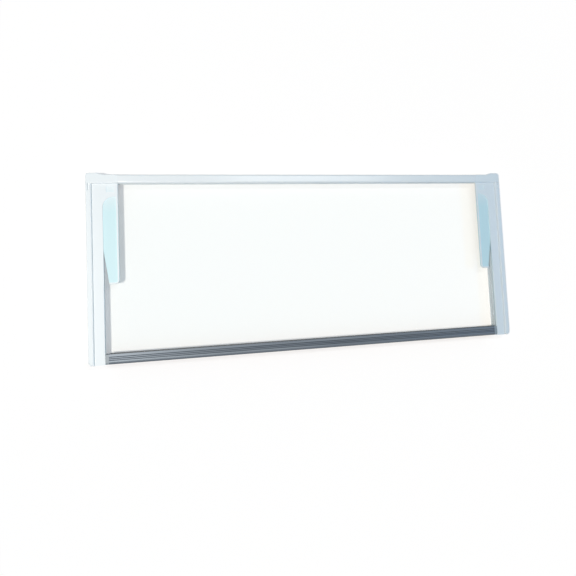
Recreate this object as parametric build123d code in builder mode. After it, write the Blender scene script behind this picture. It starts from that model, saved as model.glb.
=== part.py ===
# Refrigerator glass shelf with two moulded side rails, a rear trim and a metal front trim
# X runs along the width, +Y points to the rear and +Z points up, in millimetres

import os

from build123d import *

# Overall size
width = 500.0
depth = 206.0

# Glass panel
glass_thickness = 4.0
glass_inset = 9.0
glass_corner = 4.0
glass_edge = 0.5

# Heights of the side rails, from the foot upwards
foot_thickness = 2.5
runner_gap = 4.5
flange_thickness = 2.5
lip_clearance = 0.2
lip_thickness = 1.8
bead_rise = 1.5

# Plan of the side rails, measured inwards from the outer face
wall = 3.0
bead_width = 6.0
foot_width = 15.0
flange_width = 16.0
lip_width = 17.0
plate_width = 33.0
nose_width = 12.0
nose_slope = 6.0

# Plan of the side rails along the depth
nose_step = 1.8
block_depth = 26.0
plate_length = 121.0
end_wall = 3.5
plate_corner = 5.0
front_corner = 4.0
rear_corner = 3.0

# Small features of the side rails
groove = 0.9
lip_round = 0.5
bead_round = 1.2
panel_recess = 0.8
panel_border = 2.0
panel_corner = 1.5
panel_straight = 0.5
slot_length = 37.0
slot_width = 5.5
rib = 2.0
rib_count = 8
window_length = 8.0
window_depth = 6.0
window_recess = 0.7
window_from_plate_edge = 4.0
window_from_block_front = 5.0
notch_length = 8.0
notch_width = 1.6
notch_from_outside = 2.2
notch_from_rear = 15.0

# Rear trim
rear_trim_depth = 10.0
rear_wall = 3.5
rear_lip = 1.8
rear_round = 2.2

# Front trim, its glazing strip and its end plugs
trim_depth = 11.0
trim_lip = 1.4
trim_nose = 3.2
trim_box_depth = 9.0
trim_box_height = 5.2
trim_wall = 1.4
trim_round = 3.0
trim_flute = 0.6
flute_pitch = 1.7
flute_count = 3
strip = 0.8
strip_bead = 0.6
plug_length = 3.5
spigot_length = 12.0
spigot_clearance = 0.1

# Levels and lines that follow from the sizes
half_width = width / 2
front = -depth / 2
nose = depth / 2
rear = nose - nose_step
z_flange = foot_thickness + runner_gap
z_glass = z_flange + flange_thickness
z_rear = z_glass - rear_lip
z_glass_top = z_glass + glass_thickness
z_lip = z_glass_top + lip_clearance
z_lip_top = z_lip + lip_thickness
z_top = z_lip_top + bead_rise
block_front = nose - block_depth
panel_width = plate_width - lip_width - panel_border
panel_fillet = panel_width - panel_corner - panel_straight
plate_front = nose - plate_length
slot_line = rear - rear_wall
trim_back = front + trim_nose
glass_front = trim_back + strip
glass_rear = slot_line - lip_clearance
glass_half = half_width - glass_inset
trim_half = half_width - lip_width - plug_length
tolerance = 0.01


def from_left(points):
    """Turn distances from the left outer face into plan points."""
    return [(u - half_width, y) for u, y in points]


def step_plan(narrow, wide, step_y):
    """Plan of a bar that becomes wider behind step_y."""
    return from_left(
        [(0, front), (narrow, front), (narrow, step_y), (wide, step_y), (wide, nose), (0, nose)]
    )


# Left side rail: runner foot, glass channel, raised bead and wide rear plate in one moulding
with BuildPart() as left_side_rail:
    # Runner foot
    with BuildSketch():
        with BuildLine():
            Polyline(from_left([(0, front), (foot_width, front), (foot_width, nose), (0, nose)]), close=True)
        make_face()
    extrude(amount=foot_thickness)

    # Outer wall
    with BuildSketch():
        with BuildLine():
            Polyline(from_left([(0, front), (wall, front), (wall, nose), (0, nose)]), close=True)
        make_face()
    extrude(amount=z_top)

    # Flange under the glass
    with BuildSketch(Plane.XY.offset(z_flange)):
        with BuildLine():
            Polyline(
                from_left([(0, front), (flange_width, front), (flange_width, nose), (0, nose)]),
                close=True,
            )
        make_face()
    extrude(amount=flange_thickness)

    # Lip over the glass, which widens into the rear plate
    with BuildSketch(Plane.XY.offset(z_lip)) as lip_plan:
        with BuildLine():
            Polyline(step_plan(lip_width, plate_width, plate_front), close=True)
        make_face()
        plate_tip = lip_plan.vertices().sort_by_distance((plate_width - half_width, plate_front))[0]
        fillet(plate_tip, radius=plate_corner)
    extrude(amount=lip_thickness)
    lip_edges = left_side_rail.edges().filter_by(
        lambda edge: abs(edge.center().Z - z_lip_top) < tolerance
        and edge.center().X + half_width > lip_width - tolerance
        and edge.center().Y < nose - tolerance
    )
    chamfer(lip_edges, length=lip_round)

    # Recessed panel in the plate, with a wide round towards the corner block
    with BuildSketch(Plane.XY.offset(z_lip_top - panel_recess)) as panel_plan:
        with Locations((lip_width - half_width, block_front)):
            Rectangle(
                panel_width,
                block_front - plate_front - panel_border,
                align=(Align.MIN, Align.MAX),
            )
        panel_turn = panel_plan.vertices().sort_by_distance((lip_width - half_width, block_front))
        fillet(panel_turn[0], radius=panel_fillet)
        panel_tips = panel_plan.vertices().group_by(Axis.X)[-1]
        fillet(panel_tips, radius=panel_corner)
    extrude(amount=panel_recess, mode=Mode.SUBTRACT)

    # Tapered relief slot that lets the end of the plate flex
    with BuildSketch(Plane.XY.offset(z_lip)):
        with BuildLine():
            Polyline(
                from_left(
                    [
                        (lip_width, plate_front),
                        (lip_width + slot_width, plate_front),
                        (lip_width, plate_front + slot_length),
                    ]
                ),
                close=True,
            )
        make_face()
    extrude(amount=lip_thickness, mode=Mode.SUBTRACT)

    # Raised bead along the outside and the rear
    with BuildSketch(Plane.XY.offset(z_lip)):
        with BuildLine():
            Polyline(step_plan(bead_width, plate_width, rear - rear_trim_depth), close=True)
        make_face()
    extrude(amount=z_top - z_lip)

    # Wall behind the rear edge of the glass
    with BuildSketch(Plane.XY.offset(z_rear)):
        with BuildLine():
            Polyline(
                from_left([(0, slot_line), (plate_width, slot_line), (plate_width, nose), (0, nose)]),
                close=True,
            )
        make_face()
    extrude(amount=z_lip - z_rear)

    # Lower lip of the corner block, in line with the rear trim
    with BuildSketch(Plane.XY.offset(z_rear)):
        with BuildLine():
            Polyline(
                from_left(
                    [
                        (0, rear - rear_trim_depth),
                        (plate_width, rear - rear_trim_depth),
                        (plate_width, rear),
                        (0, rear),
                    ]
                ),
                close=True,
            )
        make_face()
    extrude(amount=rear_lip)

    # Wall that closes the front end of the channel
    with BuildSketch():
        with BuildLine():
            Polyline(
                from_left(
                    [
                        (0, front),
                        (flange_width, front),
                        (flange_width, front + end_wall),
                        (0, front + end_wall),
                    ]
                ),
                close=True,
            )
        make_face()
    extrude(amount=z_lip)

    # Wall that closes the rear end of the runner
    with BuildSketch():
        with BuildLine():
            Polyline(
                from_left([(0, slot_line), (foot_width, slot_line), (foot_width, nose), (0, nose)]),
                close=True,
            )
        make_face()
    extrude(amount=z_flange)

    # Ribs that tie the foot to the flange and stop the edge of the glass
    rib_pitch = (slot_line - front - end_wall) / (rib_count + 1)
    for index in range(rib_count):
        rib_y = front + end_wall + (index + 1) * rib_pitch
        with BuildSketch(Plane.XY.offset(foot_thickness)):
            with Locations((wall - half_width, rib_y)):
                Rectangle(foot_width - wall - rib, rib, align=(Align.MIN, Align.CENTER))
        extrude(amount=runner_gap)
        with BuildSketch(Plane.XY.offset(z_glass)):
            with Locations((wall - half_width, rib_y)):
                Rectangle(glass_inset - wall, rib, align=(Align.MIN, Align.CENTER))
        extrude(amount=z_lip - z_glass)

    # Plan outline with the rear nose and the rounded outer corners
    with BuildSketch() as outline:
        with BuildLine():
            Polyline(
                from_left(
                    [
                        (0, front),
                        (plate_width, front),
                        (plate_width, rear),
                        (nose_width + nose_slope, rear),
                        (nose_width, nose),
                        (0, nose),
                    ]
                ),
                close=True,
            )
        make_face()
        front_tip = outline.vertices().sort_by_distance((-half_width, front))[0]
        fillet(front_tip, radius=front_corner)
        rear_tip = outline.vertices().sort_by_distance((-half_width, nose))[0]
        fillet(rear_tip, radius=rear_corner)
    extrude(amount=z_top, mode=Mode.INTERSECT)

    # Rounded bead, left square where the rear trim butts against it
    bead_edges = left_side_rail.edges().filter_by(
        lambda edge: abs(edge.center().Z - z_top) < tolerance
        and edge.center().X < plate_width - half_width - tolerance
    )
    fillet(bead_edges, radius=bead_round)

    # Drain groove along the foot of the bead
    with BuildSketch(Plane.XY.offset(z_lip_top - groove)):
        with BuildLine():
            Polyline(
                from_left(
                    [
                        (bead_width, front),
                        (bead_width + groove, front),
                        (bead_width + groove, rear - rear_trim_depth - groove),
                        (plate_width, rear - rear_trim_depth - groove),
                        (plate_width, rear - rear_trim_depth),
                        (bead_width, rear - rear_trim_depth),
                    ]
                ),
                close=True,
            )
        make_face()
    extrude(amount=groove, mode=Mode.SUBTRACT)

    # Shallow window in the corner block
    with BuildSketch(Plane.XY.offset(z_lip_top - window_recess)):
        with Locations(
            (plate_width - window_from_plate_edge - half_width, block_front + window_from_block_front)
        ):
            Rectangle(window_length, window_depth, align=(Align.MAX, Align.MIN))
    extrude(amount=window_recess, mode=Mode.SUBTRACT)

    # Catch notch in the bead
    with BuildSketch(Plane.XY.offset(z_lip_top)):
        with Locations((notch_from_outside - half_width, nose - notch_from_rear)):
            Rectangle(notch_width, notch_length, align=(Align.MIN, Align.CENTER))
    extrude(amount=bead_rise, mode=Mode.SUBTRACT)

left_side_rail.part.label = "left_side_rail"

# Right side rail, the mirror moulding
with BuildPart() as right_side_rail:
    add(mirror(left_side_rail.part, about=Plane.YZ))

right_side_rail.part.label = "right_side_rail"

# Glass panel with rounded corners and ground edges
with BuildPart() as glass_panel:
    with BuildSketch(Plane.XY.offset(z_glass)):
        with Locations((0, (glass_front + glass_rear) / 2)):
            RectangleRounded(2 * glass_half, glass_rear - glass_front, glass_corner)
    extrude(amount=glass_thickness)
    chamfer(glass_panel.faces().sort_by(Axis.Z)[0].edges(), length=glass_edge)
    chamfer(glass_panel.faces().sort_by(Axis.Z)[-1].edges(), length=glass_edge)

glass_panel.part.label = "glass_panel"

# Rear trim: a clip-on profile between the two corner blocks
with BuildPart() as rear_trim:
    with BuildSketch(Plane.YZ.offset(plate_width - half_width)) as rear_section:
        with BuildLine():
            Polyline(
                (rear - rear_trim_depth, z_lip),
                (slot_line, z_lip),
                (slot_line, z_glass),
                (rear - rear_trim_depth, z_glass),
                (rear - rear_trim_depth, z_rear),
                (rear, z_rear),
                (rear, z_top),
                (rear - rear_trim_depth, z_top),
                close=True,
            )
        make_face()
        fillet(rear_section.vertices().group_by(Axis.Y)[-1], radius=rear_round)
    extrude(amount=width - 2 * plate_width)

rear_trim.part.label = "rear_trim"


def trim_outline():
    """Outer outline of the front trim section, from the lip round the nose to the lower box."""
    return [
        (front + trim_depth, z_glass_top + strip),
        (front + trim_depth, z_glass_top + strip + trim_lip),
        (front, z_glass_top + strip + trim_lip),
        (front, z_glass - strip - trim_box_height),
        (front + trim_box_depth, z_glass - strip - trim_box_height),
        (front + trim_box_depth, z_glass - strip - trim_lip),
        (front + trim_depth, z_glass - strip - trim_lip),
        (front + trim_depth, z_glass - strip),
    ]


# Front trim: an extruded metal profile with a glass channel, a rounded nose and a hollow box
with BuildPart() as front_trim:
    with BuildSketch(Plane.YZ.offset(-trim_half)) as front_section:
        with BuildLine():
            Polyline(
                trim_outline() + [(trim_back, z_glass - strip), (trim_back, z_glass_top + strip)],
                close=True,
            )
        make_face()
        nose_top = front_section.vertices().sort_by_distance((front, z_top))[0]
        fillet(nose_top, radius=trim_round)
        nose_bottom = front_section.vertices().sort_by_distance((front, 0))[0]
        fillet(nose_bottom, radius=trim_wall)
        # Hollow of the lower box
        with Locations((front + trim_wall, z_glass - strip - trim_lip)):
            Rectangle(
                trim_box_depth - 2 * trim_wall,
                trim_box_height - trim_lip - trim_wall,
                align=(Align.MIN, Align.MAX),
                mode=Mode.SUBTRACT,
            )
        # Fine flutes along the top
        for index in range(flute_count):
            with Locations(
                (front + trim_round + (index + 1) * flute_pitch, z_glass_top + strip + trim_lip)
            ):
                Rectangle(trim_flute, trim_flute, rotation=45, mode=Mode.SUBTRACT)
    extrude(amount=2 * trim_half)

front_trim.part.label = "front_trim"

# Soft glazing strip that lines the channel of the front trim
with BuildPart() as front_glazing_strip:
    with BuildSketch(Plane.YZ.offset(-trim_half)):
        with BuildLine():
            Polyline(
                (trim_back, z_glass - strip),
                (front + trim_depth + strip_bead, z_glass - strip),
                (front + trim_depth + strip_bead, z_glass),
                (glass_front, z_glass),
                (glass_front, z_glass_top),
                (front + trim_depth + strip_bead, z_glass_top),
                (front + trim_depth + strip_bead, z_glass_top + strip),
                (trim_back, z_glass_top + strip),
                close=True,
            )
        make_face()
    extrude(amount=2 * trim_half)

front_glazing_strip.part.label = "front_glazing_strip"

# Left end plug: an end plate in the shape of the trim with a spigot in the hollow box
with BuildPart() as left_end_plug:
    with BuildSketch(Plane.YZ.offset(-trim_half - plug_length)) as plug_section:
        with BuildLine():
            Polyline(
                trim_outline() + [
                    (front + trim_depth, z_glass),
                    (glass_front, z_glass),
                    (glass_front, z_lip),
                    (front + trim_depth, z_lip),
                ],
                close=True,
            )
        make_face()
        plug_top = plug_section.vertices().sort_by_distance((front, z_top))[0]
        fillet(plug_top, radius=trim_round)
        plug_bottom = plug_section.vertices().sort_by_distance((front, 0))[0]
        fillet(plug_bottom, radius=trim_wall)
    extrude(amount=plug_length)

    with BuildSketch(Plane.YZ.offset(-trim_half)):
        with Locations((front + trim_wall + spigot_clearance, z_glass - strip - trim_lip - spigot_clearance)):
            Rectangle(
                trim_box_depth - 2 * trim_wall - 2 * spigot_clearance,
                trim_box_height - trim_lip - trim_wall - 2 * spigot_clearance,
                align=(Align.MIN, Align.MAX),
            )
    extrude(amount=spigot_length)

left_end_plug.part.label = "left_end_plug"

# Right end plug, the mirror piece
with BuildPart() as right_end_plug:
    add(mirror(left_end_plug.part, about=Plane.YZ))

right_end_plug.part.label = "right_end_plug"

# One file for each piece
os.makedirs("parts", exist_ok=True)
export_step(glass_panel.part, "parts/glass_panel.step")
export_step(left_side_rail.part, "parts/left_side_rail.step")
export_step(right_side_rail.part, "parts/right_side_rail.step")
export_step(rear_trim.part, "parts/rear_trim.step")
export_step(front_trim.part, "parts/front_trim.step")
export_step(front_glazing_strip.part, "parts/front_glazing_strip.step")
export_step(left_end_plug.part, "parts/left_end_plug.step")
export_step(right_end_plug.part, "parts/right_end_plug.step")
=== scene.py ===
# %% [markdown]
# A glass refrigerator shelf, dressed for a studio picture.
# The solids of the shelf arrive ready-made and stay where they are. This lesson gives each of them a
# finish, lights the shelf with three lamps, lays it on a pale floor and looks down on it.

# %% Load the shelf
import math

import bmesh
import bpy
from mathutils import Matrix, Vector


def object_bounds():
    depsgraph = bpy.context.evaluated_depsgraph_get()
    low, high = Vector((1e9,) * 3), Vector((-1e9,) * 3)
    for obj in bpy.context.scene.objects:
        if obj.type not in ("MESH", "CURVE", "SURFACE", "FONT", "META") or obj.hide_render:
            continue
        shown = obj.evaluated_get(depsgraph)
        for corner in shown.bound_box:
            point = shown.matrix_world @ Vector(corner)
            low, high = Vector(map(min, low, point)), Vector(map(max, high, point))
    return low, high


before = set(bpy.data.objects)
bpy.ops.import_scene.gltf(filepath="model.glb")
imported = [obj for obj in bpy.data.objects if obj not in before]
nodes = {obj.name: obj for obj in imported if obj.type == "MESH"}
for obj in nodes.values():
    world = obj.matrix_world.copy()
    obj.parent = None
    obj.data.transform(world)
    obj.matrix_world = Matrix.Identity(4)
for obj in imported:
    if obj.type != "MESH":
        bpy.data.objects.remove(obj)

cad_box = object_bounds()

print("pieces:", sorted(nodes))
print("size in millimetres:", [round(1000 * v, 1) for v in cad_box[1] - cad_box[0]])

# %% [markdown]
# Every finish below is a node tree. A few small helpers keep the trees readable: they add a node and set
# its input sockets, or add a Math node or a Mix node in the wanted mode. Values that are the same all over
# a surface are set straight on the shader, and only what changes over the surface is linked.

# %% Helpers for nodes
MATH = "ShaderNodeMath"
VECTOR_MATH = "ShaderNodeVectorMath"

# A Mix node's colour sockets share their names with its number sockets, so they are reached by place
MIX_A = 6
MIX_B = 7
MIX_RESULT = 2


def set_sockets(node, values):
    """Set input sockets by name, written with _ for a space."""
    for name, value in values.items():
        node.inputs[name.replace("_", " ")].default_value = value


def add_node(tree, kind, **sockets):
    """Add a node and set the given input sockets."""
    node = tree.nodes.new(kind)
    set_sockets(node, sockets)
    return node


def add_math(tree, operation, kind=MATH):
    """Add a Math or Vector Math node for one operation."""
    node = tree.nodes.new(kind)
    node.operation = operation
    return node


def add_mix(tree, blend_type):
    """Add a Mix node for colours."""
    node = tree.nodes.new("ShaderNodeMix")
    node.data_type = "RGBA"
    node.blend_type = blend_type
    return node


print("node helpers ready")

# %% [markdown]
# A material here starts from one Principled shader. An effect that several materials share is a node
# group: it is built once, with named sockets, and placed in each material with its own values.

# %% Helpers for materials and groups


def start_material(name, **sockets):
    """Make a material that holds a Principled shader and an output."""
    material = bpy.data.materials.new(name)
    material.use_nodes = True
    tree = material.node_tree
    tree.nodes.clear()
    shader = add_node(tree, "ShaderNodeBsdfPrincipled", **sockets)
    output = tree.nodes.new("ShaderNodeOutputMaterial")
    tree.links.new(shader.outputs["BSDF"], output.inputs["Surface"])
    return material, tree, shader


def start_group(name, inputs, outputs):
    """Make an empty node group with named float and colour sockets."""
    group = bpy.data.node_groups.new(name, "ShaderNodeTree")
    for label, kind, value in inputs:
        socket = group.interface.new_socket(label, in_out="INPUT", socket_type=kind)
        socket.default_value = value
    for label, kind in outputs:
        group.interface.new_socket(label, in_out="OUTPUT", socket_type=kind)
    entry = group.nodes.new("NodeGroupInput")
    result = group.nodes.new("NodeGroupOutput")
    return group, entry, result


def place_group(tree, group, **values):
    """Place a node group in a tree and set its named inputs."""
    node = tree.nodes.new("ShaderNodeGroup")
    node.node_tree = group
    set_sockets(node, values)
    return node


print("material helpers ready")

# %% [markdown]
# Injection mouldings are never perfectly even. The mould leaves a fine spark-eroded grain, and the
# plastic cools with faint cloudy patches. Both come from noise on Object coordinates, so that the size
# of the grain is real: about a third of a millimetre. The group is shared by the rails, the rear trim,
# the plugs and the soft strip.

# %% Group: moulded grain
FLOAT = "NodeSocketFloat"
COLOUR = "NodeSocketColor"
NOISE_MIDDLE = 0.5

moulded_grain, entry, result = start_group(
    "moulded_grain",
    [
        ("Colour", COLOUR, (0.8, 0.8, 0.8, 1.0)),
        ("Cloud Colour", COLOUR, (0.7, 0.7, 0.7, 1.0)),
        ("Grain Scale", FLOAT, 3000.0),
        ("Roughness", FLOAT, 0.4),
        ("Roughness Spread", FLOAT, 0.1),
    ],
    [("Colour", COLOUR), ("Roughness", FLOAT), ("Height", FLOAT)],
)
links = moulded_grain.links
place = moulded_grain.nodes.new("ShaderNodeTexCoord")
cloud = add_node(moulded_grain, "ShaderNodeTexNoise", Scale=22.0, Detail=4.0, Roughness=0.55)
grain = add_node(moulded_grain, "ShaderNodeTexNoise", Detail=2.0, Roughness=0.6)
links.new(place.outputs["Object"], cloud.inputs["Vector"])
links.new(place.outputs["Object"], grain.inputs["Vector"])
links.new(entry.outputs["Grain Scale"], grain.inputs["Scale"])

blend = add_mix(moulded_grain, "MIX")
links.new(cloud.outputs["Fac"], blend.inputs["Factor"])
links.new(entry.outputs["Colour"], blend.inputs[MIX_A])
links.new(entry.outputs["Cloud Colour"], blend.inputs[MIX_B])
links.new(blend.outputs[MIX_RESULT], result.inputs["Colour"])

swing = add_math(moulded_grain, "SUBTRACT")
swing.inputs[1].default_value = NOISE_MIDDLE
links.new(grain.outputs["Fac"], swing.inputs[0])
spread = add_math(moulded_grain, "MULTIPLY_ADD")
links.new(swing.outputs[0], spread.inputs[0])
links.new(entry.outputs["Roughness Spread"], spread.inputs[1])
links.new(entry.outputs["Roughness"], spread.inputs[2])
links.new(spread.outputs[0], result.inputs["Roughness"])
links.new(grain.outputs["Fac"], result.inputs["Height"])
print("group", moulded_grain.name, "with", len(moulded_grain.nodes), "nodes")

# %% [markdown]
# Shelves are wiped again and again. That leaves soft smears on the metal and the glass, which show only
# in the gloss. This group turns a slow, stretched noise into a roughness value.

# %% Group: wiping marks
WIPE_ANGLE = math.radians(24)
WIPE_STRETCH = (6.0, 30.0, 30.0)

wiping_marks, entry, result = start_group(
    "wiping_marks",
    [("Roughness", FLOAT, 0.1), ("Smear", FLOAT, 0.05)],
    [("Roughness", FLOAT)],
)
links = wiping_marks.links
place = wiping_marks.nodes.new("ShaderNodeTexCoord")
turn = add_node(wiping_marks, "ShaderNodeMapping", Rotation=(0.0, 0.0, WIPE_ANGLE), Scale=WIPE_STRETCH)
smear = add_node(
    wiping_marks, "ShaderNodeTexNoise", Scale=1.0, Detail=5.0, Roughness=0.6, Distortion=0.6
)
scaled = add_math(wiping_marks, "MULTIPLY_ADD")
links.new(place.outputs["Object"], turn.inputs["Vector"])
links.new(turn.outputs["Vector"], smear.inputs["Vector"])
links.new(smear.outputs["Fac"], scaled.inputs[0])
links.new(entry.outputs["Smear"], scaled.inputs[1])
links.new(entry.outputs["Roughness"], scaled.inputs[2])
links.new(scaled.outputs[0], result.inputs["Roughness"])
print("group", wiping_marks.name, "with", len(wiping_marks.nodes), "nodes")

# %% [markdown]
# The rails, the rear trim and the plugs are moulded plastic, and the glazing strip is soft rubber with a
# coarser grain. One function builds all of these finishes from the grain group, a bump for the grain and,
# on the rails and the rear trim, a thin coat for the satin gloss. Each piece gives its own values.

# %% Function: moulded finish


def moulded_finish(
    name, colour, cloud_colour, roughness, grain_scale, grain_depth, coat=0.0,
    roughness_spread=0.18, bump_strength=0.25,
):
    """Moulded plastic or rubber with a fine grain."""
    material, tree, shader = start_material(name, IOR=1.5, Coat_Weight=coat, Coat_Roughness=0.5)
    grain_node = place_group(
        tree,
        moulded_grain,
        Colour=(*colour, 1.0),
        Cloud_Colour=(*cloud_colour, 1.0),
        Grain_Scale=grain_scale,
        Roughness=roughness,
        Roughness_Spread=roughness_spread,
    )
    bump = add_node(tree, "ShaderNodeBump", Strength=bump_strength, Distance=grain_depth)
    tree.links.new(grain_node.outputs["Colour"], shader.inputs["Base Color"])
    tree.links.new(grain_node.outputs["Roughness"], shader.inputs["Roughness"])
    tree.links.new(grain_node.outputs["Height"], bump.inputs["Height"])
    tree.links.new(bump.outputs["Normal"], shader.inputs["Normal"])
    return material, tree, shader, grain_node


rail_plastic, rail_tree, rail_shader, rail_grain = moulded_finish(
    "rail_plastic",
    colour=(0.925, 0.955, 0.972),
    cloud_colour=(0.895, 0.935, 0.956),
    roughness=0.66,
    grain_scale=2600.0,
    grain_depth=0.00005,
    coat=0.1,
)
rear_plastic, *_ = moulded_finish(
    "rear_plastic",
    colour=(0.94, 0.962, 0.978),
    cloud_colour=(0.91, 0.942, 0.963),
    roughness=0.22,
    grain_scale=2600.0,
    grain_depth=0.00005,
    coat=0.1,
)
plug_plastic, *_ = moulded_finish(
    "plug_plastic",
    colour=(0.34, 0.38, 0.41),
    cloud_colour=(0.29, 0.33, 0.36),
    roughness=0.5,
    grain_scale=3200.0,
    grain_depth=0.00006,
)
glazing_rubber, *_ = moulded_finish(
    "glazing_rubber",
    colour=(0.14, 0.15, 0.16),
    cloud_colour=(0.18, 0.19, 0.20),
    roughness=0.62,
    grain_scale=1800.0,
    grain_depth=0.00006,
    roughness_spread=0.2,
    bump_strength=0.3,
)
print("moulded:", rail_plastic.name, rear_plastic.name, plug_plastic.name, glazing_rubber.name)

# %% [markdown]
# The rails widen into plates over the rear half of the glass, and each plate has a recessed panel that is
# only a millimetre thick. So thin, this plastic lets some light through and looks more cyan than the thick
# rail. That light is painted into the colour as a cyan tint. Map Range nodes find the panels: inside the
# line of the lip, below its top, and fading out toward the corner block. Their product blends the colours.

# %% Painted tint of the light through the thin panels
LIP_WIDTH = 0.017
BEAD_RISE = 0.0015
FADE_FROM_REAR = 0.011
FADE_LENGTH = 0.032
LIP_BLEND = 0.0005
STEP_TOP = 0.0002
STEP_FOOT = 0.0006
# Painted light: this tint stands in for the light that the thin panels let through
PAINTED_LIGHT_TINT = (0.77, 0.96, 0.98, 1.0)
lip_line = cad_box[1][0] - LIP_WIDTH
lip_top = cad_box[1][2] - BEAD_RISE
fade_start = cad_box[1][1] - FADE_FROM_REAR

place = rail_tree.nodes.new("ShaderNodeTexCoord")
parts = rail_tree.nodes.new("ShaderNodeSeparateXYZ")
sideways = add_math(rail_tree, "ABSOLUTE")
inside = add_node(
    rail_tree, "ShaderNodeMapRange", From_Min=lip_line + LIP_BLEND, From_Max=lip_line - LIP_BLEND
)
below = add_node(
    rail_tree, "ShaderNodeMapRange", From_Min=lip_top - STEP_TOP, From_Max=lip_top - STEP_FOOT
)
free = add_node(
    rail_tree, "ShaderNodeMapRange", From_Min=fade_start, From_Max=fade_start - FADE_LENGTH
)
panel = add_math(rail_tree, "MULTIPLY")
thin = add_math(rail_tree, "MULTIPLY")
# The painted tint of the light through the thin panels is multiplied into the colour
cool = add_mix(rail_tree, "MULTIPLY")
cool.inputs[MIX_B].default_value = PAINTED_LIGHT_TINT
links = rail_tree.links
links.new(place.outputs["Object"], parts.inputs["Vector"])
links.new(parts.outputs["X"], sideways.inputs[0])
links.new(sideways.outputs[0], inside.inputs["Value"])
links.new(parts.outputs["Z"], below.inputs["Value"])
links.new(parts.outputs["Y"], free.inputs["Value"])
links.new(inside.outputs["Result"], panel.inputs[0])
links.new(below.outputs["Result"], panel.inputs[1])
links.new(panel.outputs[0], thin.inputs[0])
links.new(free.outputs["Result"], thin.inputs[1])
links.new(thin.outputs[0], cool.inputs["Factor"])
links.new(rail_grain.outputs["Colour"], cool.inputs[MIX_A])
links.new(cool.outputs[MIX_RESULT], rail_shader.inputs["Base Color"])
print("thin panels start", round(1000 * lip_line, 1), "mm from the middle")

# %% [markdown]
# The front trim is an extruded metal profile, brushed along its length and darkened. Noise that is
# stretched two hundred times along X gives the brush lines: they change the colour and the roughness a
# little and feed a fine bump. The smears of wiping are added to the roughness.

# %% Brushed metal of the front trim
BRUSH_STRETCH = (12.0, 2400.0, 2400.0)
BRUSH_GLOSS = 0.12
DARK_LINE = (0.10, 0.12, 0.145, 1.0)
PALE_LINE = (0.18, 0.21, 0.24, 1.0)
DARK_END = 0.3
PALE_END = 0.72

front_metal, tree, shader = start_material("front_metal", Metallic=1.0, Anisotropic=0.3)
place = tree.nodes.new("ShaderNodeTexCoord")
stretch = add_node(tree, "ShaderNodeMapping", Scale=BRUSH_STRETCH)
brush = add_node(tree, "ShaderNodeTexNoise", Scale=1.0, Detail=4.0, Roughness=0.65)
shades = tree.nodes.new("ShaderNodeValToRGB")
dark, pale = shades.color_ramp.elements
dark.position = DARK_END
dark.color = DARK_LINE
pale.position = PALE_END
pale.color = PALE_LINE
smears = place_group(tree, wiping_marks, Roughness=0.36, Smear=0.16)
gloss = add_math(tree, "MULTIPLY_ADD")
gloss.inputs[1].default_value = BRUSH_GLOSS
bump = add_node(tree, "ShaderNodeBump", Strength=0.2, Distance=0.00004)
links = tree.links
links.new(place.outputs["Object"], stretch.inputs["Vector"])
links.new(stretch.outputs["Vector"], brush.inputs["Vector"])
links.new(brush.outputs["Fac"], shades.inputs["Fac"])
links.new(shades.outputs["Color"], shader.inputs["Base Color"])
links.new(brush.outputs["Fac"], gloss.inputs[0])
links.new(smears.outputs["Roughness"], gloss.inputs[2])
links.new(gloss.outputs[0], shader.inputs["Roughness"])
links.new(brush.outputs["Fac"], bump.inputs["Height"])
links.new(bump.outputs["Normal"], shader.inputs["Normal"])
print("metal:", front_metal.name)

# %% [markdown]
# The panel is clear tempered glass with a breath of cool tint. A refracting shader alone would throw a
# black shadow, because the renderer doesn't follow light through it to the floor. So the shader gives
# way to a transparent one, in the same tint, for shadow rays and for rays of scattered light. What the
# camera sees is still the refracting glass.

# %% Clear glass
GLASS_TINT = (0.98, 0.995, 0.993, 1.0)

clear_glass, tree, shader = start_material(
    "clear_glass", Base_Color=GLASS_TINT, Transmission_Weight=1.0, IOR=1.5
)
smears = place_group(tree, wiping_marks, Roughness=0.0, Smear=0.03)
rays = tree.nodes.new("ShaderNodeLightPath")
clear = add_node(tree, "ShaderNodeBsdfTransparent", Color=GLASS_TINT)
passing = add_math(tree, "MAXIMUM")
mix = tree.nodes.new("ShaderNodeMixShader")
output = tree.get_output_node("ALL")
links = tree.links
links.new(smears.outputs["Roughness"], shader.inputs["Roughness"])
links.new(rays.outputs["Is Shadow Ray"], passing.inputs[0])
links.new(rays.outputs["Is Diffuse Ray"], passing.inputs[1])
links.new(passing.outputs[0], mix.inputs["Fac"])
links.new(shader.outputs["BSDF"], mix.inputs[1])
links.new(clear.outputs["BSDF"], mix.inputs[2])
links.new(mix.outputs["Shader"], output.inputs["Surface"])
print("glass:", clear_glass.name)

# %% [markdown]
# The finishes go on by name. The meshes themselves are not touched, only their material slots.

# %% Give each piece its finish
finishes = {
    "glass_panel": clear_glass,
    "left_side_rail": rail_plastic,
    "right_side_rail": rail_plastic,
    "rear_trim": rear_plastic,
    "front_trim": front_metal,
    "front_glazing_strip": glazing_rubber,
    "left_end_plug": plug_plastic,
    "right_end_plug": plug_plastic,
}
for name, finish in finishes.items():
    slots = nodes[name].data.materials
    slots.clear()
    slots.append(finish)
    print(name, "->", finish.name)

# %% [markdown]
# The main lamp hangs high at the left, so that the left rail is bright and the right rail falls into
# shade. It is small, which keeps the shadows narrow and crisp. A weak wide lamp stands behind, where the
# camera sees its reflection in the satin rear trim. A weak cool lamp at the right gives the right rail the
# blue that daylight has in the shade.

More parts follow.
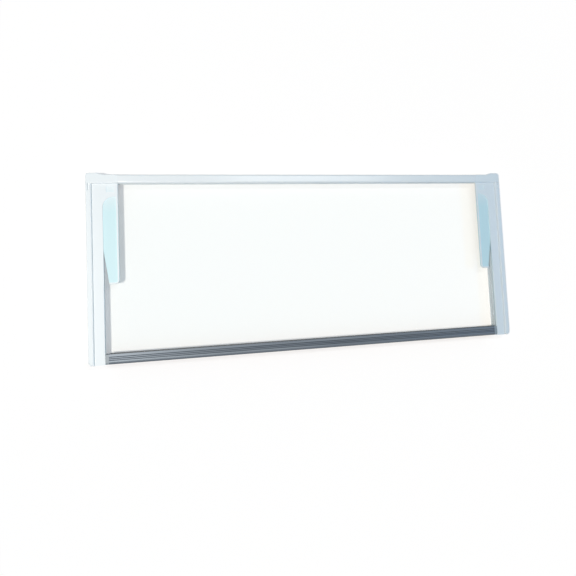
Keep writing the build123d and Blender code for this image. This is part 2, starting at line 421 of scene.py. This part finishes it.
# %% Lamps
LAMPS = {
    "main_lamp": {
        "place": (-0.45, -0.09, 0.9),
        "target": (-0.50, -0.09, 0.0),
        "size": (0.08, 0.08),
        "power": 6.0,
        "colour": (1.0, 0.916, 0.835),
    },
    "rear_lamp": {
        "place": (0.24, 0.345, 1.0),
        "target": (0.24, 0.0, 0.0),
        "size": (0.54, 0.08),
        "power": 1.4,
        "colour": (1.0, 1.0, 1.0),
    },
    "cool_lamp": {
        "place": (0.60, 0.0, 0.45),
        "target": (0.24, 0.0, 0.0),
        "size": (0.08, 0.08),
        "power": 0.32,
        "colour": (0.0, 0.42, 1.0),
    },
}

for name, lamp in LAMPS.items():
    light = bpy.data.lights.new(name, "AREA")
    light.shape = "RECTANGLE"
    light.size, light.size_y = lamp["size"]
    light.energy = lamp["power"]
    light.color = lamp["colour"]
    light_object = bpy.data.objects.new(name, light)
    light_object.location = lamp["place"]
    lamp["aim"] = (Vector(lamp["target"]) - Vector(lamp["place"])).normalized()
    light_object.rotation_euler = lamp["aim"].to_track_quat("-Z", "Y").to_euler()
    bpy.context.scene.collection.objects.link(light_object)
    print("lamp", name, "with", lamp["power"], "W")

# %% [markdown]
# A weak even world with a breath of blue fills the shadows. The camera, the metal and the glass see a
# plain white backdrop in its place, which gives no light of its own: the Light Path node tells the rays
# that look from those that gather light.

# %% World and backdrop
FILL_COLOUR = (0.56, 0.83, 1.0)
FILL_STRENGTH = 0.30
WHITE = (1.0, 1.0, 1.0, 1.0)


def looking_rays(tree):
    """Give 1 for rays from the camera, through glass or off a gloss, and 0 for all others."""
    rays = tree.nodes.new("ShaderNodeLightPath")
    seen = add_math(tree, "MAXIMUM")
    either = add_math(tree, "MAXIMUM")
    tree.links.new(rays.outputs["Is Camera Ray"], seen.inputs[0])
    tree.links.new(rays.outputs["Is Transmission Ray"], seen.inputs[1])
    tree.links.new(seen.outputs[0], either.inputs[0])
    tree.links.new(rays.outputs["Is Glossy Ray"], either.inputs[1])
    return either.outputs[0]


studio = bpy.data.worlds.new("studio")
studio.use_nodes = True
tree = studio.node_tree
tree.nodes.clear()
fill = add_node(tree, "ShaderNodeBackground", Color=(*FILL_COLOUR, 1.0), Strength=FILL_STRENGTH)
backdrop = add_node(tree, "ShaderNodeBackground", Color=WHITE, Strength=1.0)
choice = tree.nodes.new("ShaderNodeMixShader")
output = tree.nodes.new("ShaderNodeOutputWorld")
tree.links.new(looking_rays(tree), choice.inputs["Fac"])
tree.links.new(fill.outputs["Background"], choice.inputs[1])
tree.links.new(backdrop.outputs["Background"], choice.inputs[2])
tree.links.new(choice.outputs["Shader"], output.inputs["Surface"])
bpy.context.scene.world = studio
print("world", studio.name)

# %% [markdown]
# The shelf lies on a plain pale floor, one large square. It is a hair lower than the feet, so that the two
# faces don't lie in one plane and flicker.

# %% Pale floor
FLOOR_HALF_SIZE = 6.0
FLOOR_GAP = 0.0001

floor_mesh = bpy.data.meshes.new("floor")
form = bmesh.new()
bmesh.ops.create_grid(
    form,
    x_segments=1,
    y_segments=1,
    size=FLOOR_HALF_SIZE,
    matrix=Matrix.Translation((0.0, 0.0, -FLOOR_GAP)),
)
form.to_mesh(floor_mesh)
form.free()
floor = bpy.data.objects.new("floor", floor_mesh)
bpy.context.scene.collection.objects.link(floor)
print("floor", 1000 * FLOOR_GAP, "mm under the feet")

# %% [markdown]
# A diffuse floor alone would be white near the lamp and grey at the right. So for the looking rays it also
# glows, and the glow is just what the lamps and the world leave missing to white. Wherever nothing shades
# it the floor is white, and the shadows of the shelf stay. Each lamp is far away for its size, so its light
# on the floor is known: it follows the cosine at both ends and falls with the square of the distance, and a
# few Math nodes write that. Together the two cosines and the square give the fourth power below.

# %% Finish of the floor
FLOOR_ALBEDO = 0.80
FLOOR_WHITE = 1.0
FALLOFF = -4.0

pale_floor = bpy.data.materials.new("pale_floor")
pale_floor.use_nodes = True
tree = pale_floor.node_tree
tree.nodes.clear()
links = tree.links
place = tree.nodes.new("ShaderNodeTexCoord")
start = tree.nodes.new("ShaderNodeCombineXYZ")
for socket, tone in zip(start.inputs, FILL_COLOUR):
    socket.default_value = FLOOR_WHITE - FLOOR_ALBEDO * FILL_STRENGTH * tone
missing = start.outputs["Vector"]

# What is missing to white without the lamps, less the light of each lamp at this place
for lamp in LAMPS.values():
    away = add_math(tree, "SUBTRACT", VECTOR_MATH)
    away.inputs[1].default_value = lamp["place"]
    along = add_math(tree, "DOT_PRODUCT", VECTOR_MATH)
    along.inputs[1].default_value = lamp["aim"]
    distance = add_math(tree, "LENGTH", VECTOR_MATH)
    falloff = add_math(tree, "POWER")
    falloff.inputs[1].default_value = FALLOFF
    share = add_math(tree, "MULTIPLY")
    height = lamp["place"][2]
    reflected = FLOOR_ALBEDO * lamp["power"] * height / math.pi ** 2
    less = add_math(tree, "MULTIPLY_ADD", VECTOR_MATH)
    less.inputs[1].default_value = [-reflected * tone for tone in lamp["colour"]]
    links.new(place.outputs["Object"], away.inputs[0])
    links.new(away.outputs["Vector"], along.inputs[0])
    links.new(away.outputs["Vector"], distance.inputs[0])
    links.new(distance.outputs["Value"], falloff.inputs[0])
    links.new(along.outputs["Value"], share.inputs[0])
    links.new(falloff.outputs[0], share.inputs[1])
    links.new(share.outputs[0], less.inputs[0])
    links.new(missing, less.inputs[2])
    missing = less.outputs["Vector"]

# The glow is for the rays that look at the floor, not for those that light the shelf
positive = add_math(tree, "MAXIMUM", VECTOR_MATH)
diffuse = add_node(tree, "ShaderNodeBsdfDiffuse", Color=(FLOOR_ALBEDO, FLOOR_ALBEDO, FLOOR_ALBEDO, 1.0))
glow = tree.nodes.new("ShaderNodeEmission")
both = tree.nodes.new("ShaderNodeAddShader")
output = tree.nodes.new("ShaderNodeOutputMaterial")
links.new(missing, positive.inputs[0])
links.new(positive.outputs["Vector"], glow.inputs["Color"])
links.new(looking_rays(tree), glow.inputs["Strength"])
links.new(diffuse.outputs["BSDF"], both.inputs[0])
links.new(glow.outputs["Emission"], both.inputs[1])
links.new(both.outputs["Shader"], output.inputs["Surface"])
floor_mesh.materials.append(pale_floor)
print("finish", pale_floor.name, "counts", len(LAMPS), "lamps")

# %% [markdown]
# The camera looks almost straight down, from a little left of the middle, and is turned a few degrees
# about its own axis. The picture is framed a little off the axis of the lens, which a small shift gives.
# These values were fitted to the outline of the shelf.

# %% Camera
SENSOR_MM = 36.0
LENS_MM = 28.25
LENS_SHIFT = -0.0694
NEAR_LIMIT = 0.01
CAMERA_PLACE = (-0.1343, -0.0158, 0.5287)
CAMERA_TURN_DEG = (3.864, -11.221, -2.55)

lens = bpy.data.cameras.new("camera")
lens.sensor_width = SENSOR_MM
lens.lens = LENS_MM
lens.shift_y = LENS_SHIFT
lens.clip_start = NEAR_LIMIT
camera = bpy.data.objects.new("camera", lens)
camera.location = CAMERA_PLACE
camera.rotation_euler = [math.radians(angle) for angle in CAMERA_TURN_DEG]
bpy.context.scene.collection.objects.link(camera)
bpy.context.scene.camera = camera
bpy.context.scene.view_settings.view_transform = "Standard"
print("camera", [round(v, 4) for v in camera.location])
